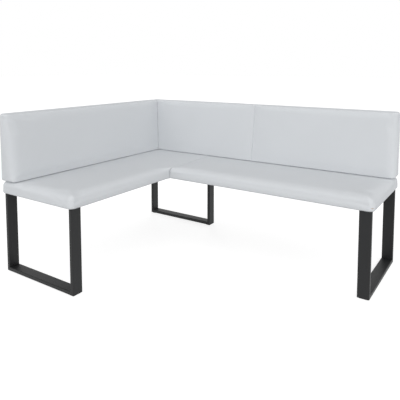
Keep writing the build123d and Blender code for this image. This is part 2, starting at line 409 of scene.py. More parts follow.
@dataclass(frozen=True)
class Spunbond(Finish):
    """Bonded fleece with a pressed diamond of small dots."""

    dots: float = 620.0
    dot_roughness: float = 0.6

    def pattern(self, graph: Graph, place: Socket) -> Look:
        """Even pressed dots over a tangle of fine fibres."""
        turned = graph.add("ShaderNodeMapping", {"Vector": place,
                                                 "Rotation": (0.0, 0.0, math.radians(45))})
        grid = graph.add("ShaderNodeTexVoronoi", {"Vector": turned.outputs[0], "Scale": self.dots,
                                                  "Randomness": 0.0}, voronoi_dimensions="2D")
        dot = graph.remap(grid.outputs["Distance"], 0.16, 0.3, 1.0, 0.0)
        fibre = graph.noise(place, 1400.0, 4.0)
        tone = graph.blend(fibre, self.tinted(0.55), self.tinted(1.5))
        tone = graph.blend(dot, tone, self.tinted(0.6))
        return (tone, graph.remap(dot, 0.0, 1.0, self.roughness, self.dot_roughness),
                graph.math("SUBTRACT", fibre, dot))


class Finishes:
    """The bench's finishes by what they cover."""

    UPHOLSTERY = Leatherette("pale_leatherette", (0.618, 0.638, 0.660), 0.56, specular=0.2,
                             bump=0.3, bump_depth=0.16 * MM)
    STEEL = Coating("black_powder_coat", (0.0125, 0.0132, 0.0140), 0.48, specular=0.32, bump=0.12)
    ZINC = ZincPlate("zinc_plate", (0.66, 0.67, 0.69), 0.3, metallic=1.0, bump=0.08)
    PLASTIC = Coating("glide_plastic", (0.018, 0.018, 0.019), 0.48, bump=0.15, peel=1200.0,
                      pits=2600.0, fleck_tone=1.0, fleck_gain=0.15, clouds=30.0, swing=0.2)
    PLYWOOD = Timber("plywood", (0.56, 0.40, 0.25), 0.6, specular=0.3, rings=26.0, layer=1.5 * MM)
    PINE = Timber("pine", (0.62, 0.45, 0.26), 0.55, specular=0.3, rings=70.0)
    FLEECE = Spunbond("dust_fleece", (0.040, 0.040, 0.043), 0.9, specular=0.15, bump=0.5)


# Meshes

def new_object(name: str, data: Any) -> Piece:
    """A new object with its data in the scene, at the origin."""
    made = bpy.data.objects.new(name, data)
    bpy.context.scene.collection.objects.link(made)
    return made


def corners_of(node: str) -> tuple[Array, Array]:
    """Lowest and highest corner of a node of the frame."""
    low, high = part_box(node)
    return np.array(list(low)), np.array(list(high))


def add_piece(name: str, points: Array, faces: tuple[Array, ...], finish: Finish, slot: str,
              crease: float | None = None) -> Piece:
    """Make a smooth mesh piece that rides on the bench.

    Args:
        name: the piece's name.
        points: its vertices, one row each, in metres.
        faces: arrays of its faces, each with one row of vertex numbers per face.
        finish: its finish.
        slot: the record's material slot; not used.
        crease: angle in degrees from which an edge is shaded sharp.
    Returns:
        The new object, at the origin.
    """
    corners = np.concatenate([np.full(len(group), group.shape[1]) for group in faces])
    loops = np.concatenate([group.ravel() for group in faces])
    mesh = bpy.data.meshes.new(name)
    mesh.vertices.add(len(points))
    mesh.vertices.foreach_set("co", np.asarray(points, np.float32).ravel())
    mesh.loops.add(len(loops))
    mesh.loops.foreach_set("vertex_index", loops.astype(np.int32))
    mesh.polygons.add(len(corners))
    mesh.polygons.foreach_set("loop_start", (np.cumsum(corners) - corners).astype(np.int32))
    mesh.polygons.foreach_set("use_smooth", np.ones(len(corners), bool))
    mesh.update(calc_edges=True)
    if crease is not None:
        mesh.set_sharp_from_angle(angle=math.radians(crease))
    mesh.materials.append(finish.material())
    piece = new_object(name, mesh)
    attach(piece, ROOT)
    return piece


def finish_with(piece: Piece, kind: str, **settings: Any) -> None:
    """Add a modifier to a piece.

    Args:
        piece: the object.
        kind: Blender's name of the modifier type.
        settings: the modifier's properties.
    """
    modifier = piece.modifiers.new(kind.lower(), kind)
    for key, value in settings.items():
        setattr(modifier, key, value)


def subdivide(piece: Piece) -> None:
    """Finish a piece with one level of subdivision."""
    finish_with(piece, "SUBSURF", levels=1, render_levels=1)


def grid_faces(rows: int, columns: int, closed: bool = False, ring: bool = False) -> Array:
    """Quads of a grid of points that is stored row by row.

    Args:
        rows: points along the first parameter.
        columns: points along the second parameter.
        closed: whether the last column joins the first.
        ring: whether the last row joins the first.
    Returns:
        One row of four vertex numbers for each quad.
    """
    number = np.arange(rows * columns).reshape(rows, columns)
    if closed:
        number = np.concatenate([number, number[:, :1]], axis=1)
    if ring:
        number = np.concatenate([number, number[:1]], axis=0)
    corners = (number[:-1, :-1], number[1:, :-1], number[1:, 1:], number[:-1, 1:])
    return np.stack(corners, axis=-1).reshape(-1, 4)


def copies(points: Array, faces: tuple[Array, ...], places: Array) -> Mesh:
    """Repeat one mesh at several places.

    Args:
        points: vertices of one mesh.
        faces: arrays of its faces.
        places: one offset for each copy.
    Returns:
        Vertices of all the copies and arrays of their faces.
    """
    moved = places[:, None, :] + points
    step = np.arange(len(places))[:, None, None] * len(points)
    repeated = tuple((group[None] + step).reshape(-1, group.shape[1]) for group in faces)
    return moved.reshape(-1, 3), repeated


def smooth(value: Array) -> Array:
    """Smooth step from 0 to 1, held at its ends."""
    held = np.clip(value, 0.0, 1.0)
    return held * held * (3.0 - 2.0 * held)


def fading(distance: Array, reach: float) -> Array:
    """Share that fades smoothly from 1 at no distance to 0 at the reach, in tenths."""
    return np.round(1.0 - smooth(distance / reach), 1)


def mixed(first: Any, second: Any, share: Any) -> Any:
    """The first value where share is 0, the second where it is 1."""
    return first + (second - first) * share


def span(ends: tuple[Any, Any], cores: tuple[Any, Any], pushes: tuple[Any, Any], share: Array,
         heading: Array) -> Array:
    """One coordinate of a rounded block: a place on its core, pushed out towards its faces.

    Args:
        ends: lower and upper face.
        cores: how far the core lies inside each face.
        pushes: how far a point that heads straight for each face is pushed out from the core.
        share: place along the core, from 0 to 1.
        heading: the point's heading along this axis, from -1 to 1.
    Returns:
        The coordinate of each point.
    """
    start, stop = ends[0] + cores[0], ends[1] - cores[1]
    return (start + share * (stop - start)
            + pushes[0] * np.minimum(heading, 0.0) + pushes[1] * np.maximum(heading, 0.0))


@dataclass(frozen=True)
class Rows:
    """Rows of points along one axis of a block: a rounded zone at each end and the middle between."""

    low: int
    middle: int
    high: int
    dense: float | None = None
    crowding: float = 9.0
    reach: float = 0.010
    samples: int = 4001

    @property
    def cells(self) -> int:
        """Cells along the axis."""
        return self.low + self.middle + self.high

    def turn(self) -> Array:
        """Place in the rounded zones: -1 to 0 at the low end, 0 in the middle, to 1 at the high end."""
        row = np.arange(self.cells + 1)
        low = np.clip(row / self.low - 1.0, -1.0, 0.0)
        return low + np.clip((row - self.low - self.middle) / self.high, 0.0, 1.0)

    def share(self) -> Array:
        """Place along the middle, from 0 to 1, with rows drawn together about the dense place."""
        row = np.clip((np.arange(self.cells + 1) - self.low) / self.middle, 0.0, 1.0)
        if self.dense is None:
            return row
        fine = np.linspace(0.0, 1.0, self.samples)
        crowd = 1.0 + self.crowding * np.exp(-((fine - self.dense) / self.reach) ** 2)
        count = np.concatenate([[0.0], np.cumsum((crowd[1:] + crowd[:-1]) / 2)])
        return np.interp(row, count / count[-1], fine)


class Shell:
    """Surface of a block of cells as a lattice of points and outward quads."""

    def __init__(self, rows: tuple[Rows, Rows, Rows]) -> None:
        """Number the lattice points on the block's skin and list its quads."""
        self.rows = rows
        cells = tuple(axis.cells for axis in rows)
        skin = np.ones([count + 1 for count in cells], bool)
        skin[1:-1, 1:-1, 1:-1] = False
        self.number = np.full(skin.shape, -1)
        self.number[skin] = np.arange(skin.sum())
        self.places = np.argwhere(skin)
        quads = []
        for axis, count in enumerate(cells):
            for end in (0, count):
                sheet = np.take(self.number, end, axis=axis)
                quad = sheet.ravel()[grid_faces(*sheet.shape)]
                quads.append(quad[:, ::-1] if (end == 0) != (axis == 1) else quad)
        self.quads = np.concatenate(quads)

    def turns(self) -> Array:
        """Place of each lattice point in the rounded zones of the three axes."""
        turns = [axis.turn()[self.places[:, i]] for i, axis in enumerate(self.rows)]
        return np.stack(turns, axis=1)

    def shares(self) -> Array:
        """Place of each lattice point along the middles of the three axes."""
        shares = [axis.share()[self.places[:, i]] for i, axis in enumerate(self.rows)]
        return np.stack(shares, axis=1)

    def outward(self) -> Array:
        """Outward direction of each lattice point."""
        return direction(self.turns())


def direction(turns: Array) -> Array:
    """Directions that turn evenly through the rounded zones: tangents up to 45 degrees, to length 1."""
    slope = np.tan(turns * math.pi / 4)
    return slope / np.maximum(np.linalg.norm(slope, axis=1, keepdims=True), TINY)


def rounded_block(size: Point, rounding: float) -> tuple[Array, Array]:
    """A small block about the origin with one even rounding on all its edges.

    Args:
        size: its three sides.
        rounding: the radius of its edges.
    Returns:
        Points and outward quads.
    """
    shell = Shell((Rows(1, 1, 1),) * 3)
    share, out = shell.shares(), shell.outward()
    half, edge = np.asarray(size) / 2, (rounding, rounding)
    return span((-half, half), edge, edge, share, out), shell.quads


# The frame's places

@dataclass(frozen=True)
class Bench:
    """Edges of the bench's box and the planes that its cushions share."""

    left: float
    right: float
    front: float
    rear: float
    seat_bottom: float
    seat_top: float
    top: float
    seat_depth: float
    back_foot: float = 110 * MM
    back_head: float = 60 * MM

    @classmethod
    def from_frame(cls, low: Any, high: Any) -> Bench:
        """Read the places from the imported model.

        Args:
            low: lowest corner of the whole model.
            high: highest corner of the whole model.
        Returns:
            The bench's places.
        """
        seat_low, seat_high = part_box("left_seat_cover")
        seat_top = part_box("rear_back_cover")[0].z
        return cls(low.x, high.x, low.y, high.y, seat_low.z, seat_top, high.z,
                   seat_high.x - seat_low.x)

    @property
    def width(self) -> float:
        """Length of the rear wing."""
        return self.right - self.left

    @property
    def depth(self) -> float:
        """Length of the left wing."""
        return self.rear - self.front

    def back_depth(self, height: Any) -> Any:
        """Thickness of a backrest at a height above the floor."""
        rise = (height - self.seat_top) / (self.top - self.seat_top)
        return mixed(self.back_foot, self.back_head, rise)


class Wing(Enum):
    """The two wings. Each has a frame of its own: along the wing, forward from its rear face, and up."""

    LEFT = "left"
    REAR = "rear"

    def to_bench(self, bench: Bench, points: Array) -> Array:
        """Rows of along, forward and up in the wing's frame, as rows of x, y and z."""
        along, forward, up = points.T
        if self is Wing.LEFT:
            return np.stack([bench.left + forward, bench.front + along, up], axis=1)
        return np.stack([bench.left + along, bench.rear - forward, up], axis=1)

    def from_bench(self, bench: Bench, points: Array) -> Array:
        """Rows of x, y and z, as rows of along, forward and up in the wing's frame."""
        x, y, z = points.T
        if self is Wing.LEFT:
            return np.stack([y - bench.front, x - bench.left, z], axis=1)
        return np.stack([x - bench.left, bench.rear - y, z], axis=1)


# Upholstery

@dataclass(frozen=True)
class Rounding:
    """Elliptic rounding of an edge: its reach across the face and its rise down the side."""

    across: float
    rise: float


@dataclass(frozen=True)
class Edge:
    """One side of a cushion: the radius of its upright corners, its roundings at the top and the hem.

    At a cut end the length's profile runs through to the end, and the corner is the rounding of its rim.
    """

    corner: float
    top: Rounding
    hem: Rounding
    cut: bool = False

    def sizes(self, share: Any, other: Edge | None = None) -> tuple[Any, ...]:
        """The edge's sizes, blended towards another edge.

        Args:
            share: share of the other edge, from 0 to 1.
            other: the other edge, if there is one.
        Returns:
            Corner radius, reach at the top, reach at the hem, rise at the top and rise at the hem.
        """
        mine, theirs = ((edge.corner, edge.top.across, edge.hem.across, edge.top.rise, edge.hem.rise)
                        for edge in (self, other or self))
        return tuple(mixed(first, second, share) for first, second in zip(mine, theirs))


@dataclass(frozen=True)
class Filling:
    """How a cushion swells: cloth under pressure, held to a largest movement."""

    pressure: float
    tension: float
    most: float
    fill: float
    frames: int = 20


@dataclass
class Cushion:
    """A padded form in its cover, along one wing."""

    name: str
    wing: Wing
    bench: Bench
    along: Pair
    height: Pair
    ends: tuple[Edge, Edge]
    rear: Edge
    front: Edge
    rows: tuple[Rows, Rows, Rows]
    filling: Filling
    stands_for: tuple[str, ...]
    ripple: float = 1.0 * MM
    inset: float = 1.2 * MM
    inset_from: float = 20 * MM
    inset_over: float = 14 * MM
    hem_width: float = 30 * MM
    hem_step: float = 12 * MM
    recess: float = 2.5 * MM

    WAVES = ((1.0, 41.0, 0.7), (0.7, 67.0, 2.1), (0.4, 109.0, 4.0))

    def __post_init__(self) -> None:
        """Make the lattice that the cushion's skin is laid on."""
        self.shell = Shell(self.rows)

    def room(self, height: Array) -> Array:
        """How far a free side stands back to swell: not at all by the board, wholly above it."""
        return self.inset * smooth((height - self.height[0] - self.inset_from) / self.inset_over)

    def recessed(self, *margins: Array) -> Array:
        """How far the closed side lies in, where the least margin to its edges is past the hem."""
        inside = np.minimum.reduce(margins)
        return self.recess * smooth((inside - self.hem_width) / self.hem_step)

    def ends_at(self, height: Array) -> tuple[Any, Any]:
        """Where the cushion starts and ends along its wing, at each height."""
        return self.along[0] + self.room(height), self.along[1] - self.room(height)

    def front_face(self, height: Array) -> Any:
        """Where the cushion's front lies, forward of its rear, at each height."""
        raise NotImplementedError

    def front_sizes(self, along: Array) -> tuple[Any, ...]:
        """Sizes of the front's edge, at each place along it."""
        return self.front.sizes(0.0)

    def held(self, points: Array) -> Array:
        """Share by which each point is held while the cushion swells, from 0 to 1."""
        raise NotImplementedError

    def skin(self) -> Array:
        """The cushion before it swells.

        A block with rounded upright corners and elliptic edges above and below. Each lattice point sits
        on a core block and is pushed out sideways by the corner's radius, less what the rounding of the
        upper or lower edge takes off, and up or down by that rounding's rise. Where two sides meet the
        radius is the smaller one, and the rise is their mean, weighted by the square of how far the point
        lies in each rounded zone. On a cut end the points lie on the length's profile, drawn in towards
        the core ring by ring.

        Returns:
            Points in the wing's frame.
        """
        turn, share = self.shell.turns(), self.shell.shares()
        cut = np.where(turn[:, 0] < 0, self.ends[0].cut, (turn[:, 0] > 0) & self.ends[1].cut)
        ring = np.where(cut, np.abs(turn[:, 1:]).max(axis=1), 1.0)
        lean = np.where(cut[:, None], turn * (0.0, 1.0, 1.0) / np.maximum(ring, TINY)[:, None], turn)
        out = direction(lean)
        tilt = np.where(ring < 1.0, 2.0, np.abs(turn[:, 0])) * (math.pi / 4)
        level = np.hypot(out[:, 0], out[:, 1])
        heading = out[:, :2] * (ring / np.maximum(level, TINY))[:, None]
        heading[:, 0] = np.where(cut, np.sign(turn[:, 0]) * np.sin(tilt), heading[:, 0])
        upper = out[:, 2] >= 0
        edges = [edge.sizes(0.0) for edge in (*self.ends, self.rear)]
        edges.append(self.front_sizes(mixed(*self.along, share[:, 0])))

        def facing(which: int) -> tuple[Array, Array]:
            """One size of the end and of the face that each point turns to."""
            return (np.where(lean[:, 0] < 0, edges[0][which], edges[1][which]),
                    np.where(lean[:, 1] < 0, edges[2][which], edges[3][which]))

        meet = (lean[:, 0] != 0) & (lean[:, 1] != 0)
        least = np.minimum(*facing(0))
        corners = [np.where(meet, least, edge[0]) for edge in edges]
        taken = [np.where(upper, top, hem) * (1.0 - level) for _, top, hem, _, _ in edges]
        pushes = [corner - loss * ~(cut & (i < 2))
                  for i, (corner, loss) in enumerate(zip(corners, taken))]
        weight = lean[:, :2] ** 2 + TINY
        weight /= weight.sum(axis=1, keepdims=True)
        rises = tuple((weight * np.stack(facing(which), axis=1)).sum(axis=1) for which in (4, 3))
        rim = cut * min(edges[0][0], edges[1][0]) * (1.0 - np.cos(np.minimum(tilt, math.pi / 4)))
        up = span(self.height, rises, rises, share[:, 2], ring * out[:, 2]) - rim * out[:, 2]
        along = span(self.ends_at(up), tuple(corners[:2]), tuple(pushes[:2]), share[:, 0],
                     heading[:, 0])
        forward = span((0.0, self.front_face(up)), tuple(corners[2:]), tuple(pushes[2:]), share[:, 1],
                       heading[:, 1])
        return np.stack([along, forward - rim * out[:, 1], up], axis=1)

    def ripples(self, points: Array) -> Array:
        """Slight waves of the cover along its edges: a sum of sines that fades away from the edge.

        Args:
            points: the skin in the wing's frame.
        Returns:
            Outward distance of each point.
        """
        run = points[:, 0] + 0.6 * points[:, 1]
        wave = sum(size * np.sin(run * pace + start) for size, pace, start in self.WAVES)
        edge = np.sort(np.abs(self.shell.outward()), axis=1)[:, 1]
        return self.ripple * wave * smooth(edge / 0.6) * 0.5

    def swell(self, piece: Piece, start: Array, held: Array) -> Array:
        """Swell the cover with Blender's cloth.

        Args:
            piece: the cushion's object.
            start: its points before.
            held: share by which each point is held.
        Returns:
            Its points after, none moved further than the filling's largest movement.
        """
        group = piece.vertex_groups.new(name="held")
        for level in np.unique(held):
            if level > 0:
                group.add(np.flatnonzero(held == level).tolist(), float(level), "REPLACE")
        cloth = piece.modifiers.new("swell", "CLOTH")
        made = cloth.settings
        made.quality = 6
        made.mass = 0.3
        made.tension_stiffness = made.compression_stiffness = self.filling.tension
        made.shear_stiffness = self.filling.tension / 2
        made.bending_stiffness = 2.0
        made.vertex_group_mass = group.name
        made.use_pressure = True
        made.uniform_pressure_force = self.filling.pressure
        made.effector_weights.gravity = 0.0
        cloth.collision_settings.use_collision = False
        cloth.point_cache.frame_end = self.filling.frames
        scene = bpy.context.scene
        for frame in range(1, self.filling.frames + 1):
            scene.frame_set(frame)
        shown = piece.evaluated_get(bpy.context.evaluated_depsgraph_get()).to_mesh()
        after = np.zeros(len(start) * 3, np.float32)
        shown.vertices.foreach_get("co", after)
        piece.modifiers.remove(cloth)
        piece.vertex_groups.remove(group)
        scene.frame_set(1)
        move = after.reshape(-1, 3) - start
        length = np.linalg.norm(move, axis=1, keepdims=True)
        most = self.filling.most
        LOG.info("%s moved by up to %.1f mm", self.name, length.max() / MM)
        return start + move * (most * np.tanh(length / most) / np.maximum(length, TINY))

    def finished(self, points: Array, skin: Array) -> Array:
        """Changes to the swollen skin, such as seams.

        Args:
            points: swollen points in the bench's frame.
            skin: the same points before, in the wing's frame.
        Returns:
            The final points.
        """
        return points

    def build(self) -> Piece:
        """Make the cushion: skin, ripples, swelling, seams and one subdivision."""
        skin = self.skin()
        waves = self.ripples(skin) * (1.0 - self.held(skin))
        start = self.wing.to_bench(self.bench, skin + self.shell.outward() * waves[:, None])
        piece = add_piece(self.name, start, (self.shell.quads[:, ::-1],), Finishes.UPHOLSTERY,
                          "upholstery")
        points = self.swell(piece, start, self.held(skin))
        points = self.finished(points, skin)
        piece.data.vertices.foreach_set("co", np.asarray(points, np.float32).ravel())
        piece.data.update()
        subdivide(piece)
        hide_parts(*self.stands_for)
        return piece


@dataclass
class Seat(Cushion):
    """A seat cushion on its board. The left one runs through the corner, the rear one butts against it."""

    joint_from: float | None = None
    joint_edge: Edge | None = None
    tuck: float = 3.5 * MM
    tuck_reach: float = 4.5 * MM
    tuck_behind: float = 4 * MM
    board_grip: Pair = (8 * MM, 34 * MM)
    back_grip: Pair = (4 * MM, 60 * MM)
    joint_grip: float = 70 * MM

    def front_face(self, height: Array) -> Any:
        """A seat's front is upright. The room to swell also parts the joint a little."""
        return self.bench.seat_depth - self.room(height)

    def front_sizes(self, along: Array) -> tuple[Any, ...]:
        """Past the inner corner the front's rounding dies out, by the drop of the other seat's edge."""
        if self.joint_from is None:
            return super().front_sizes(along)
        past = np.clip((along - self.joint_from) / self.front.top.across, 0.0, 1.0)
        return self.front.sizes(np.sqrt(1.0 - (1.0 - past) ** 2), self.joint_edge)

    def skin(self) -> Array:
        """The rounded block, recessed below inside its hem and tucked in under the backrest's front."""
        points = super().skin()
        along, forward, _ = points.T
        layer = self.shell.places[:, 2]
        points[:, 2] += (layer == 0) * self.recessed(
            along - self.along[0], self.along[1] - along, forward, self.bench.seat_depth - forward)
        bell = np.exp(-((self.before_back(points) + self.tuck_behind) / self.tuck_reach) ** 2)
        points[:, 2] -= (layer == self.rows[2].cells) * self.tuck * bell
        return points

    def before_back(self, points: Array) -> Array:
        """How far each point lies in front of the nearest backrest's foot."""
        before = points[:, 1] - self.bench.back_foot
        if self.joint_from is not None:
            before = np.minimum(before, self.along[1] - points[:, 0] - self.bench.back_foot)
        return before

    def held(self, points: Array) -> Array:
        """Held by the board below, by the backrest behind, and at the joint of the seats."""
        if self.joint_from is None:
            joint = points[:, 0] - self.along[0]
        else:
            joint = np.where(points[:, 0] > self.joint_from, self.bench.seat_depth - points[:, 1], 1.0)
        return np.maximum.reduce([
            fading(points[:, 2] - self.height[0] - self.board_grip[0], self.board_grip[1]),
            fading(self.before_back(points) - self.back_grip[0], self.back_grip[1]),
            fading(joint, self.joint_grip)])


@dataclass
class Backrest(Cushion):
    """A leaning backrest. The rear one runs the whole width, the left one stops against it."""

    seam: float | None = None
    stop_gap: float | None = None
    seam_depth: float = 4.5 * MM
    seam_reach: float = 2.0 * MM
    seam_grip: float = 30 * MM
    panel_grip: float = 12 * MM
    foot_grip: float = 40 * MM
    end_grip: float = 60 * MM
    pressed_grip: Pair = (8 * MM, 80 * MM)

    def front_face(self, height: Array) -> Any:
        """A backrest's front leans back."""
        return self.bench.back_depth(height)

    def ends_at(self, height: Array) -> tuple[Any, Any]:
        """The left backrest ends on the rear one's leaning front."""
        start, end = super().ends_at(height)
        if self.stop_gap is not None:
            end = self.along[1] - self.bench.back_depth(height) - self.stop_gap
        return start, end

    def skin(self) -> Array:
        """The leaning block, with its rear recessed inside the hem for the lining."""
        points = super().skin()
        along, _, up = points.T
        end = self.along[1] - (self.bench.back_foot if self.stop_gap else 0.0)
        points[:, 1] += (self.shell.places[:, 1] == 0) * self.recessed(
            along - self.along[0], end - along, up - self.height[0], self.height[1] - up)
        return points

    def held(self, points: Array) -> Array:
        """Held by the panel behind, at the foot, along the seam and at the other backrest."""
        along, forward, up = points.T
        held = [forward < self.panel_grip, fading(up - self.height[0], self.foot_grip)]
        if self.seam is not None:
            start, reach = self.pressed_grip
            held.append(fading(along - self.bench.back_foot - start, reach))
            held.append(fading(np.abs(along - self.seam), self.seam_grip))
        if self.stop_gap is not None:
            held.append(fading(self.ends_at(up)[1] - along, self.end_grip))
        return np.maximum.reduce(held)

    def finished(self, points: Array, skin: Array) -> Array:
        """Draw in the seam: a bell-shaped furrow across front and top.

        The furrow dies out on the rear hem and on the foot.

        Args:
            points: swollen points in the bench's frame.
            skin: the same points before, in the wing's frame.
        Returns:
            The final points.
        """
        if self.seam is None:
            return points
        out = self.shell.outward()
        bell = np.exp(-((skin[:, 0] - self.seam) / self.seam_reach) ** 2)
        bell *= smooth(1.1 + out[:, 1]) * smooth(1.1 + out[:, 2])
        inward = -out * (self.seam_depth * bell)[:, None]
        still = self.wing.to_bench(self.bench, 0 * inward)
        return points + self.wing.to_bench(self.bench, inward) - still


@dataclass
class Upholstery:
    """The four cushions of the bench."""

    bench: Bench
    joint_gap: float = 0.5 * MM
    stop_gap: float = 0.4 * MM
    edge_rows: int = 4
    cell: float = 15 * MM

    FREE = Edge(31 * MM, Rounding(31 * MM, 26 * MM), Rounding(12 * MM, 9 * MM))
    BUTT = Edge(2.5 * MM, Rounding(2.5 * MM, 2.5 * MM), Rounding(2 * MM, 2 * MM), cut=True)
    BACK_END = Edge(26 * MM, Rounding(16 * MM, 15 * MM), Rounding(16 * MM, 14 * MM))
    BACK_REAR = Edge(16 * MM, Rounding(14 * MM, 14 * MM), Rounding(15 * MM, 13 * MM))
    BACK_FACE = Edge(26 * MM, Rounding(13 * MM, 12 * MM), Rounding(7 * MM, 5 * MM))
    SEAT_FILLING = Filling(pressure=3.5, tension=70.0, most=6 * MM, fill=0.9)
    BACK_FILLING = Filling(pressure=3.5, tension=60.0, most=5 * MM, fill=0.85)

    def rows(self, length: float, low: int, high: int, dense: float | None = None) -> Rows:
        """Rows along one axis, with cells of about one size in the middle."""
        return Rows(low, 2 * round(length / self.cell / 2), high, dense)

    def tucked_rows(self, length: float, tuck: float) -> Rows:
        """Rows along one axis of a seat, drawn together where a backrest's front edge stands on it."""
        reach = self.FREE.corner
        return self.rows(length, self.edge_rows, self.edge_rows, (tuck - reach) / (length - 2 * reach))

    def seat(self, wing: Wing, along: tuple[float, float], ends: tuple[Edge, Edge], rows: Rows,
             **joint: Any) -> Seat:
        """One seat.

        Args:
            wing: its wing.
            along: where it starts and ends along the wing.
            ends: the edges of its two ends.
            rows: rows along it.
            joint: what it says about the joint of the seats.
        Returns:
            The seat.
        """
        bench, k, name = self.bench, self.edge_rows, f"{wing.value}_seat"
        across = self.tucked_rows(bench.seat_depth, bench.back_foot - Seat.tuck_behind)
        return Seat(f"{name}_cushion", wing, bench, along, (bench.seat_bottom, bench.seat_top), ends,
                    self.FREE, self.FREE, (rows, across, Rows(k, 4, k)), self.SEAT_FILLING,
                    (f"{name}_cover", f"{name}_foam"), **joint)

    def back(self, wing: Wing, length: float, last: Edge, rows: Rows, **details: Any) -> Backrest:
        """One backrest.

        Args:
            wing: its wing.
            length: the wing's length.
            last: the edge of its second end.
            rows: rows along it.
            details: its seam, or its gap to the other backrest.
        Returns:
            The backrest.
        """
        bench, k, name = self.bench, self.edge_rows, f"{wing.value}_back"
        upright = self.rows(bench.top - bench.seat_top, 3, k)
        return Backrest(f"{name}_cushion", wing, bench, (0.0, length), (bench.seat_top, bench.top),
                        (self.BACK_END, last), self.BACK_REAR, self.BACK_FACE,
                        (rows, Rows(k, 4, k), upright), self.BACK_FILLING,
                        (f"{name}_cover", f"{name}_foam"), **details)

    def build(self) -> list[Piece]:
        """Make the four cushions: the left seat runs through the corner, the rear back has a seam."""
        bench, k = self.bench, self.edge_rows
        depth, width, seat_depth = bench.depth, bench.width, bench.seat_depth
        through = self.tucked_rows(depth, depth - bench.back_foot + Seat.tuck_behind)
        cushions = (
            self.seat(Wing.LEFT, (0.0, depth), (self.FREE, self.FREE), through,
                      joint_from=depth - seat_depth, joint_edge=self.BUTT),
            self.seat(Wing.REAR, (seat_depth + 0.5 * self.joint_gap, width), (self.BUTT, self.FREE),
                      self.rows(width - seat_depth, 2, k)),
            self.back(Wing.LEFT, depth, self.BUTT, self.rows(depth, k, 2), stop_gap=self.stop_gap),
            self.back(Wing.REAR, width, self.BACK_END, self.rows(width, k, k, 0.5), seam=width / 2))
        return [cushion.build() for cushion in cushions]


# Stretched cloths

class Facing(Enum):
    """Side that a stretched cloth closes."""

    DOWN = "underside"
    BACK = "rear"

    def lay(self, across: Array, down: Array, plane: float, out: Array) -> Array:
        """Points of a cloth in its wing's frame.

        Args:
            across: places along the wing.
            down: places across the closed side.
            plane: height of an underside, or how far a rear lies forward.
            out: distance in front of that plane.
        Returns:
            Rows of along, forward and up.
        """
        level = plane - out
        columns = (across, down, level) if self is Facing.DOWN else (across, level, down)
        return np.stack([column.ravel() for column in columns], axis=1)


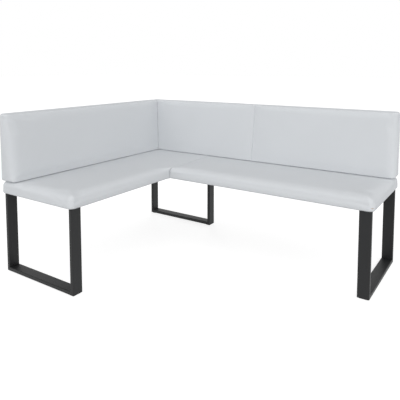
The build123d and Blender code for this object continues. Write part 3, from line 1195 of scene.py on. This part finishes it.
@dataclass
class StretchedCloth:
    """A thin cloth drawn tight over the open side of a cushion and stapled along its edge."""

    name: str
    wing: Wing
    bench: Bench
    facing: Facing
    node: str
    cushion: str
    finish: Finish
    slot: str
    bow: float
    keep_clear: tuple[str, ...] = ()
    thickness: float = 0.7 * MM
    depth: float = 0.9 * MM
    pitch: float = 58 * MM
    pucker: float = 0.35 * MM
    pucker_reach: float = 16 * MM
    cell: float = 11 * MM
    staple: Point = (11 * MM, 1.3 * MM, 0.8 * MM)
    staple_edge: float = 0.3 * MM
    staple_inset: float = 9 * MM
    staple_lift: float = 0.2 * MM

    def __post_init__(self) -> None:
        """Read the cloth's outline from the frame."""
        corners = self.wing.from_bench(self.bench, np.array(corners_of(self.node)))
        self.low, self.high = np.sort(corners, axis=0)
        down, out = (1, 2) if self.facing is Facing.DOWN else (2, 1)
        self.plane = self.low[out] + self.depth
        self.low, self.high = self.low[[0, down]], self.high[[0, down]]

    def bulge(self, across: Array, down: Array) -> Array:
        """How far the cloth stands out: one shallow bow, and puckers between the staples.

        The bow is a product of two parabolas. The puckers are cosines with the staples' pitch along the
        edge that die away from it.

        Args:
            across: places along the wing.
            down: places across the closed side.
        Returns:
            Outward distance of each point.
        """
        size = self.high - self.low
        first, second = (across - self.low[0]) / size[0], (down - self.low[1]) / size[1]
        bow = 16.0 * first * (1.0 - first) * second * (1.0 - second)
        waves = np.zeros_like(bow)
        for value, other, length, breadth in ((first, second, *size), (second, first, *size[::-1])):
            count = round(length / self.pitch)
            edge = np.minimum(other, 1.0 - other) * breadth
            waves += np.cos(2.0 * math.pi * count * value) * np.exp(-edge / self.pucker_reach)
        return self.bow * bow - self.pucker * waves

    def surface(self) -> tuple[Array, Array]:
        """The cloth as a grid over its outline.

        Returns:
            Points in the bench's frame and outward quads.
        """
        counts = np.maximum(np.round((self.high - self.low) / self.cell), 2).astype(int) + 1
        across, down = np.meshgrid(*(np.linspace(*ends) for ends in zip(self.low, self.high, counts)),
                                   indexing="ij")
        points = self.facing.lay(across, down, self.plane, self.bulge(across, down))
        quads = grid_faces(*across.shape)
        flip = self.facing is Facing.BACK
        return self.wing.to_bench(self.bench, points), quads[:, ::-1] if flip else quads

    def staples(self) -> Mesh:
        """Staples along the four edges, left out where something of the frame covers the edge.

        Returns:
            Points in the bench's frame and faces.
        """
        block, quads = rounded_block(self.staple, self.staple_edge)
        size = self.high - self.low
        parts = []
        for axis in (0, 1):
            count = round(size[axis] / self.pitch)
            run = self.low[axis] + (np.arange(count) + 0.5) / count * size[axis]
            edges = (self.low[1 - axis] + self.staple_inset, self.high[1 - axis] - self.staple_inset)
            spots = (np.tile(run, 2), np.repeat(edges, count))
            across, down = spots[::-1] if axis else spots
            out = self.bulge(across, down) + self.staple_lift
            places = self.facing.lay(across, down, self.plane, out)
            turned = block[:, [1, 0, 2]] if axis else block
            turned = turned if self.facing is Facing.DOWN else turned[:, [0, 2, 1]]
            odd = (axis == 1) != (self.facing is Facing.BACK)
            parts.append(copies(turned, (quads if odd else quads[:, ::-1],),
                                places[self.clear(places)]))
        first, second = parts
        points = np.concatenate([first[0], second[0]])
        faces = np.concatenate([first[1][0], second[1][0] + len(first[0])])
        return self.wing.to_bench(self.bench, points), (faces,)

    def clear(self, places: Array) -> Array:
        """Which places, in the wing's frame, lie clear of the frame pieces that are named."""
        spots = self.wing.to_bench(self.bench, places)[:, :2]
        free = np.ones(len(spots), bool)
        margin = self.staple[0]
        for node in self.keep_clear:
            low, high = corners_of(node)
            free &= ~np.all((spots > low[:2] - margin) & (spots < high[:2] + margin), axis=1)
        return free

    def build(self) -> list[Piece]:
        """Make the cloth and its staples."""
        points, quads = self.surface()
        cloth = add_piece(self.name, points, (quads,), self.finish, self.slot)
        finish_with(cloth, "SOLIDIFY", thickness=self.thickness, offset=-1.0)
        points, faces = self.staples()
        staples = add_piece(f"{self.name}_staples", points, faces, Finishes.ZINC, "zinc_steel")
        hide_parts(self.node)
        return [cloth, staples]


@dataclass
class Closings:
    """Dust sheets under the seats and linings behind the backrests."""

    bench: Bench

    PLATES = ("left_leg_plate", "corner_leg_plate", "right_leg_plate", "front_join_plate",
              "rear_join_plate")

    def build(self) -> list[Piece]:
        """Make the four cloths."""
        pieces = []
        for wing in Wing:
            seat, back = f"{wing.value}_seat", f"{wing.value}_back"
            pieces += StretchedCloth(
                f"{seat}_dust_sheet", wing, self.bench, Facing.DOWN, f"{seat}_dust_cover",
                f"{seat}_cushion", Finishes.FLEECE, "dust_cloth", 0.6 * MM, self.PLATES).build()
            pieces += StretchedCloth(
                f"{back}_lining_panel", wing, self.bench, Facing.BACK, f"{back}_lining",
                f"{back}_cushion", Finishes.UPHOLSTERY, "upholstery", 0.4 * MM,
                pucker=0.1 * MM).build()
        return pieces


# Fasteners

class Plan(Enum):
    """Outline of one row of a turned shape."""

    ROUND = "round"
    HEX = "hexagon"
    LOBES = "six lobes"

    def factor(self, angle: Array) -> Array:
        """Radius factor at each angle: even, a hexagon about the circle, or six shallow lobes."""
        if self is Plan.HEX:
            return 1.0 / np.cos((angle + math.pi / 6) % (math.pi / 3) - math.pi / 6)
        if self is Plan.LOBES:
            return 1.0 + 0.14 * np.cos(6.0 * angle)
        return np.ones_like(angle)


@dataclass(frozen=True)
class Turning:
    """A closed shape turned about an upright axis.

    The rows are radius and height in mm. A row is round where no plan is named for its number.
    """

    rows: tuple[tuple[float, float], ...]
    plans: tuple[tuple[int, Plan], ...] = ()
    ring: bool = False
    sides: int = 24

    def mesh(self) -> Mesh:
        """Carry the profile round the axis.

        Each row is a circle of its radius, times its plan's factor, at its height. The first and the
        last row are closed by a flat face, or joined to each other in a ring.

        Returns:
            Points about the origin and arrays of outward faces.
        """
        angle = np.arange(self.sides) * (2.0 * math.pi / self.sides)
        plans = dict(self.plans)
        radius = np.stack([reach * plans.get(i, Plan.ROUND).factor(angle)
                           for i, (reach, _) in enumerate(self.rows)]) * MM
        height = np.array([level for _, level in self.rows])[:, None] * MM
        points = np.stack([radius * np.cos(angle), radius * np.sin(angle),
                           np.broadcast_to(height, radius.shape)], axis=-1).reshape(-1, 3)
        quads = grid_faces(len(self.rows), self.sides, closed=True, ring=self.ring)[:, ::-1]
        if self.ring:
            return points, (quads,)
        last = (len(self.rows) - 1) * self.sides
        ends = np.stack([np.arange(self.sides)[::-1], last + np.arange(self.sides)])
        return points, (quads, ends)


@dataclass
class Hardware:
    """Bolts, washers and screws below the bench, in place of the frame's plain ones."""

    head_height: float = 5.3 * MM
    washer_height: float = 2.0 * MM
    screw_offsets: tuple[float, ...] = (-45 * MM, -20 * MM, 20 * MM, 45 * MM)

    BOLT = Turning((
        (2.6, -4.9), (3.4, -5.3), (5.9, -5.3), (6.3, -5.0), (6.5, -4.1), (6.5, -0.5), (6.2, -0.4),
        (6.2, 0.0), (3.95, 0.0), (3.95, 15.0), (3.4, 15.6)), ((4, Plan.HEX), (5, Plan.HEX)))
    WASHER = Turning((
        (4.3, -1.7), (4.6, -2.0), (11.6, -2.0), (12.0, -1.6), (12.0, -0.1), (11.9, 0.0), (4.4, 0.0),
        (4.3, -0.2)), ring=True)
    SCREW = Turning((
        (1.5, -1.0), (1.7, -2.3), (2.1, -2.5), (3.2, -2.3), (4.0, -1.5), (4.2, -0.6), (4.2, 0.0),
        (2.2, 0.0), (2.2, 12.0), (0.6, 16.0)), ((0, Plan.LOBES), (1, Plan.LOBES)))

    def row(self, node: str, count: int) -> Array:
        """Centres of fasteners in an even row, from end to end of a box and half its breadth inside.

        Args:
            node: a node of the frame whose solids are round in plan.
            count: how many stand in the row.
        Returns:
            One row of x, y and the box's lowest z for each fastener.
        """
        low, high = corners_of(node)
        half = (high - low)[:2].min() / 2
        places = mixed(low + half, high - half, np.linspace(0.0, 1.0, count)[:, None])
        places[:, 2] = low[2]
        return places

    def put(self, name: str, shape: Turning, places: Array, node: str) -> Piece:
        """Make copies of one fastener as a piece.

        Args:
            name: the piece's name.
            shape: the fastener.
            places: where the underside of each head, or a washer's upper face, lies.
            node: the node that it stands for.
        Returns:
            The piece.
        """
        piece = add_piece(name, *copies(*shape.mesh(), places), Finishes.ZINC, "zinc_steel",
                          crease=32.0)
        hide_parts(node)
        return piece

    def build(self) -> list[Piece]:
        """Make the leg bolts, the backrest bolts with their washers, and the joining screws."""
        pieces = []
        for leg in ("left_leg", "corner_leg", "right_leg"):
            places = self.row(f"{leg}_tnuts", 4)
            places[:, 2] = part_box(f"{leg}_bolts")[0].z + self.head_height
            pieces.append(self.put(f"{leg}_bolt_heads", self.BOLT, places, f"{leg}_bolts"))
        for back, count in (("left_back", 3), ("corner_back", 2), ("rear_back", 3)):
            places = self.row(f"{back}_washers", count)
            pieces.append(self.put(f"{back}_bolt_heads", self.BOLT, places, f"{back}_bolts"))
            upper = places + np.array((0.0, 0.0, self.washer_height))
            pieces.append(self.put(f"{back}_bolt_washers", self.WASHER, upper, f"{back}_washers"))
        for join in ("front_join", "rear_join"):
            low, high = corners_of(f"{join}_plate")
            places = np.tile((low + high) / 2, (len(self.screw_offsets), 1))
            places[:, 0] += self.screw_offsets
            places[:, 2] = low[2]
            pieces.append(self.put(f"{join}_screw_heads", self.SCREW, places, f"{join}_screws"))
        return pieces


# Light and camera

@dataclass
class Studio:
    """Pale floor, soft light and the photograph's camera."""

    floor_half: float = 40.0
    floor_tone: float = 0.36
    floor_glow: float = 0.80
    floor_fill: float = 0.24
    sky: float = 0.85
    sky_lean: Point = (0.46, -0.82, -0.05)
    camera_place: Point = (1.3944, -2.1110, 1.1270)
    camera_yaw: float = 33.965
    camera_pitch: float = 4.687
    lens: float = 41.66
    shift: float = -0.24

    def seen(self, graph: Graph) -> Socket:
        """1 for rays from the camera and for what gloss and glass show, otherwise 0."""
        path = graph.add("ShaderNodeLightPath").outputs
        some = graph.math("MAXIMUM", path["Is Camera Ray"], path["Is Glossy Ray"])
        return graph.math("MAXIMUM", some, path["Is Transmission Ray"])

    def floor(self) -> Piece:
        """A pale floor that keeps the bench's shadow and throws soft light back up."""
        half = self.floor_half
        corners = [(-half, -half, 0.0), (half, -half, 0.0), (half, half, 0.0), (-half, half, 0.0)]
        mesh = bpy.data.meshes.new("floor")
        mesh.from_pydata(corners, [], [(0, 1, 2, 3)])
        material = bpy.data.materials.new("pale_floor")
        material.use_nodes = True
        graph = Graph(material.node_tree)
        matt = graph.add("ShaderNodeBsdfDiffuse", {"Color": rgba((self.floor_tone,) * 3)})
        extra = graph.math("MULTIPLY", self.seen(graph), self.floor_glow - self.floor_fill)
        glow = graph.add("ShaderNodeEmission", {"Strength": graph.math("ADD", extra, self.floor_fill)})
        both = graph.add("ShaderNodeAddShader", {0: matt.outputs[0], 1: glow.outputs[0]})
        graph.add("ShaderNodeOutputMaterial", {"Surface": both.outputs[0]})
        mesh.materials.append(material)
        floor = new_object("floor", mesh)
        floor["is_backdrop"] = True
        return floor

    def world(self) -> None:
        """White to the camera, and to the bench a soft dome that grows brighter towards the front."""
        world = bpy.data.worlds.new("studio")
        world.use_nodes = True
        graph = Graph(world.node_tree)
        toward = graph.add("ShaderNodeTexCoord").outputs["Generated"]
        lean = graph.add("ShaderNodeVectorMath", {0: toward, 1: self.sky_lean}, operation="DOT_PRODUCT")
        dome = graph.math("MULTIPLY", graph.math("ADD", lean.outputs["Value"], 1.0), self.sky)
        seen = self.seen(graph)
        hidden = graph.math("MULTIPLY", dome, graph.math("SUBTRACT", 1.0, seen))
        strength = graph.math("ADD", hidden, seen)
        sky = graph.add("ShaderNodeBackground", {"Color": rgba((1.0, 1.0, 1.0)), "Strength": strength})
        graph.add("ShaderNodeOutputWorld", {"Surface": sky.outputs[0]})
        bpy.context.scene.world = world

    def lamp(self, name: str, place: Point, target: Point, side: float, power: float) -> None:
        """A square soft box that no gloss shows.

        Args:
            name: the lamp's name.
            place: its centre.
            target: the point that it faces.
            side: its side in metres.
            power: its power in watts.
        """
        light = bpy.data.lights.new(name, "AREA")
        light.size, light.energy = side, power
        lamp = new_object(name, light)
        lamp.location = place
        lamp.visible_glossy = False
        away = np.subtract(place, target)
        lamp.rotation_euler = (math.atan2(math.hypot(away[0], away[1]), away[2]), 0.0,
                               math.atan2(away[0], -away[1]))

    def camera(self) -> None:
        """The photograph's camera, with no depth of field."""
        data = bpy.data.cameras.new("photo_camera")
        data.lens, data.sensor_width, data.shift_y = self.lens, 36.0, self.shift
        camera = new_object("photo_camera", data)
        camera.location = self.camera_place
        camera.rotation_euler = (math.radians(90.0 - self.camera_pitch), 0.0,
                                 math.radians(self.camera_yaw))
        bpy.context.scene.camera = camera

    def build(self) -> None:
        """Set the stage, the light and the camera."""
        bpy.context.scene.view_settings.view_transform = "Standard"
        self.floor()
        self.world()
        self.lamp("front_box", (0.4, -4.6, 2.6), (0.0, 0.0, 0.5), 3.2, 12.0)
        self.lamp("right_box", (4.2, -1.2, 2.8), (0.0, 0.0, 0.5), 2.6, 22.0)
        self.lamp("rear_box", (-2.7, 3.3, 0.8), (0.0, 0.0, 0.6), 1.5, 70.0)
        self.camera()


# Frame pieces

@dataclass(frozen=True)
class Dressing:
    """Finish of the frame's nodes whose names have one of the endings, and how far edges are eased."""

    finish: Finish
    endings: tuple[str, ...]
    eased: float = 0.0


DRESSINGS = (
    Dressing(Finishes.STEEL, ("_post", "_foot_bar", "leg_plate"), 0.5 * MM),
    Dressing(Finishes.ZINC, ("join_plate",), 0.4 * MM),
    Dressing(Finishes.PLASTIC, ("_glide",), 0.4 * MM),
    Dressing(Finishes.ZINC, ("_bolts", "_washers", "_screws", "_tnuts", "_inserts")),
    Dressing(Finishes.PLYWOOD, ("_board", "_panel")),
    Dressing(Finishes.PINE, ("_rail",)),
    Dressing(Finishes.FLEECE, ("_dust_cover",)),
    Dressing(Finishes.UPHOLSTERY, ("_lining", "_cover", "_foam")),
)


def dress_nodes(nodes: dict[str, Piece]) -> None:
    """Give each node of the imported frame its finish, and the legs' nodes eased edges."""
    for name, node in nodes.items():
        dressing = next(entry for entry in DRESSINGS if name.endswith(entry.endings))
        node.data.materials.clear()
        node.data.materials.append(dressing.finish.material())
        if dressing.eased:
            finish_with(node, "WELD", merge_threshold=1e-5)
            finish_with(node, "BEVEL", width=dressing.eased, segments=2, limit_method="ANGLE",
                        angle_limit=math.radians(40.0))


def main() -> None:
    """Load the frame, build each sub-assembly on it and log each piece's face count."""
    logging.basicConfig(level=logging.INFO, format="%(name)s: %(message)s")
    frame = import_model()
    cad_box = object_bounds()
    bench = Bench.from_frame(*cad_box)
    dress_nodes(frame["nodes"])
    for assembly in (Upholstery(bench), Closings(bench), Hardware()):
        for piece in assembly.build():
            LOG.info("made %s with %d faces", piece.name, len(piece.data.polygons))
    Studio().build()


if __name__ == "__main__":
    main()
